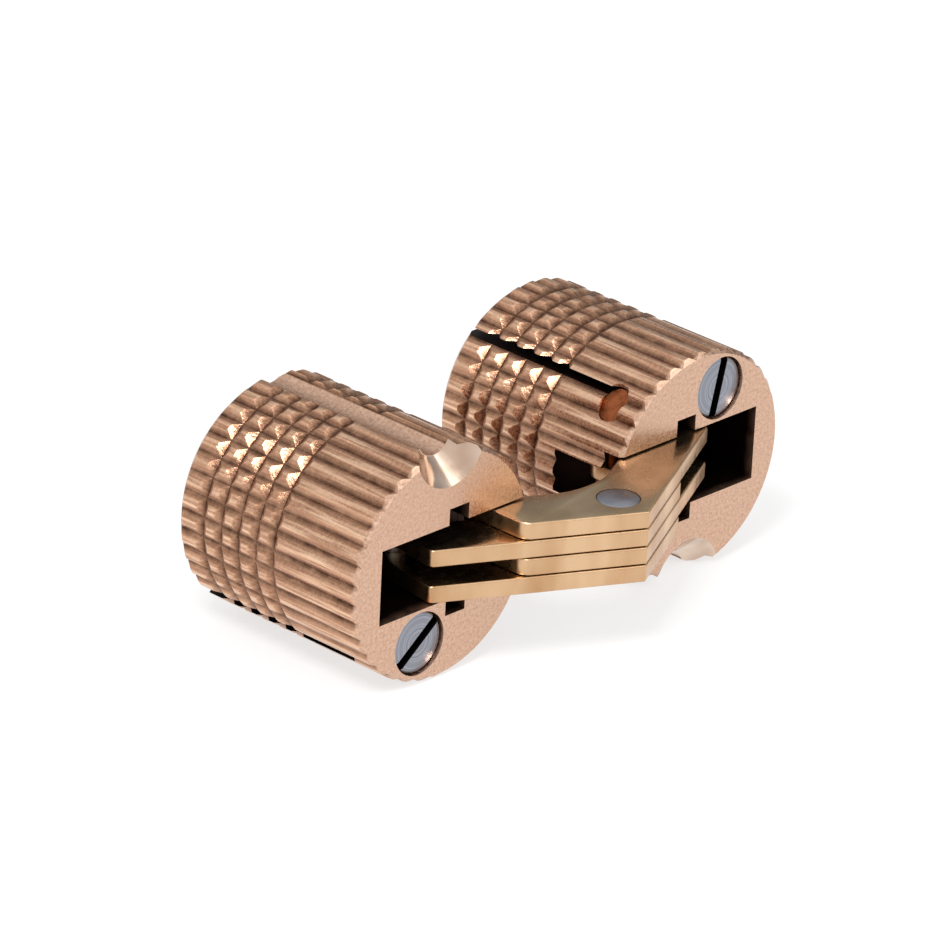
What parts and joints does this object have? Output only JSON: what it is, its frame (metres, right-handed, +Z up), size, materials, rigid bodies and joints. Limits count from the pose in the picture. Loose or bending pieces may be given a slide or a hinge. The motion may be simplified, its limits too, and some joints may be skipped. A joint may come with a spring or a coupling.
{
  "type": "invisible barrel hinge",
  "caption": "Concealed hinge: knurled cylindrical barrels with expander screws, joined by stacked cranked links that fold into the barrels' slots as the door closes.",
  "frame": {"origin": "under the middle of the open hinge, on the surface that the barrels lie on", "axes": "+X from the frame barrel to the door barrel, +Y along the barrels towards their rear ends, +Z up along the link pins"},
  "size_m": [0.035, 0.0202, 0.014],
  "materials": {
    "barrel_brass": "turned and knurled, bare",
    "link_brass": "blanked plate, tumbled edges",
    "pin_steel": "ground, riveted flush",
    "pivot_brass": "ends turned down with the barrel",
    "screw_steel": "zinc plated"
  },
  "bodies": {
    "frame_half": {"frame_barrel": "barrel_brass", "frame_pivot_pin": "pivot_brass"},
    "frame_links": {"link_1": "link_brass", "link_3": "link_brass", "centre_pin": "pin_steel", "door_guide_pin": "pin_steel"},
    "door_links": {"link_2": "link_brass", "link_4": "link_brass", "frame_guide_pin": "pin_steel"},
    "door_half": {"door_barrel": "barrel_brass", "door_pivot_pin": "pivot_brass"},
    "frame_screw": {"frame_expander_screw": "screw_steel"},
    "door_screw": {"door_expander_screw": "screw_steel"}
  },
  "joints": [
    {"name": "frame_pivot", "type": "hinge", "parent": "frame_half", "child": "frame_links", "pos_m": [-0.00544, -0.00209, 0.007], "axis": [0, 0, -1], "range_deg": [0, 116.2]},
    {"name": "centre_pivot", "type": "hinge", "parent": "frame_links", "child": "door_links", "pos_m": [0, -0.00771, 0.007], "axis": [0, 0, 1], "range_deg": [0, 52.4]},
    {"name": "door_pivot", "type": "hinge", "parent": "door_links", "child": "door_half", "pos_m": [0.00544, -0.00209, 0.007], "axis": [0, 0, -1], "range_deg": [0, 116.21]},
    {"name": "frame_screw_turn", "type": "hinge", "parent": "frame_half", "child": "frame_screw", "pos_m": [-0.0121, -0.00428, 0.00262], "axis": [0, 1, 0], "range_deg": [-360, 360]},
    {"name": "door_screw_turn", "type": "hinge", "parent": "door_half", "child": "door_screw", "pos_m": [0.0121, -0.00428, 0.01138], "axis": [0, 1, 0], "range_deg": [-360, 360]}
  ],
  "couplings": [
    {"joint": "centre_pivot", "follows": "frame_pivot", "ratio": 0.45091},
    {"joint": "door_pivot", "follows": "frame_pivot", "ratio": 1}
  ]
}
